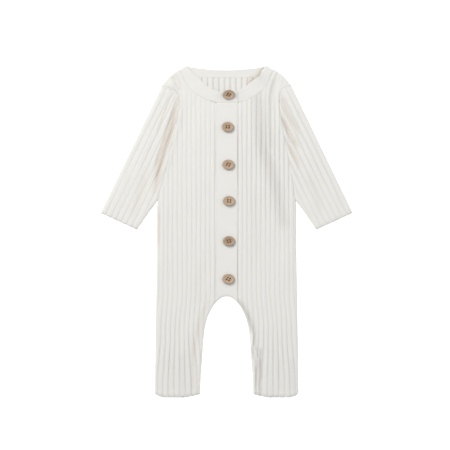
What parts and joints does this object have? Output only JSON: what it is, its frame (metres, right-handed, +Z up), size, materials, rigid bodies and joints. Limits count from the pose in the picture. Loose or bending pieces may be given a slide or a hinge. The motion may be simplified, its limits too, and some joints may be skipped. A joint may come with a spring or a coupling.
{
  "type": "baby romper",
  "caption": "Long-sleeved, long-legged ribbed knit baby romper laid flat, with a round banded neck and a buttoned centre-front band.",
  "frame": {"origin": "middle of the garment's outline, on the surface that it lies on", "axes": "+Z up out of the front of the garment, +Y from the leg hems to the neck, +X to the wearer's left"},
  "size_m": [0.3784, 0.4977, 0.0162],
  "materials": {
    "rib_knit": "matt ribbed cotton knit, warm off-white",
    "band_knit": "matt fine cotton knit, warm off-white",
    "button_wood": "satin pale brown"
  },
  "bodies": {
    "root": {"back": "rib_knit", "front_right": "rib_knit", "front_left": "rib_knit", "sleeve_right": "rib_knit", "sleeve_left": "rib_knit", "neckband": "band_knit", "placket_top": "band_knit", "placket_under": "band_knit", "button_1": "button_wood", "button_2": "button_wood", "button_3": "button_wood", "button_4": "button_wood", "button_5": "button_wood", "button_6": "button_wood"}
  },
  "joints": []
}
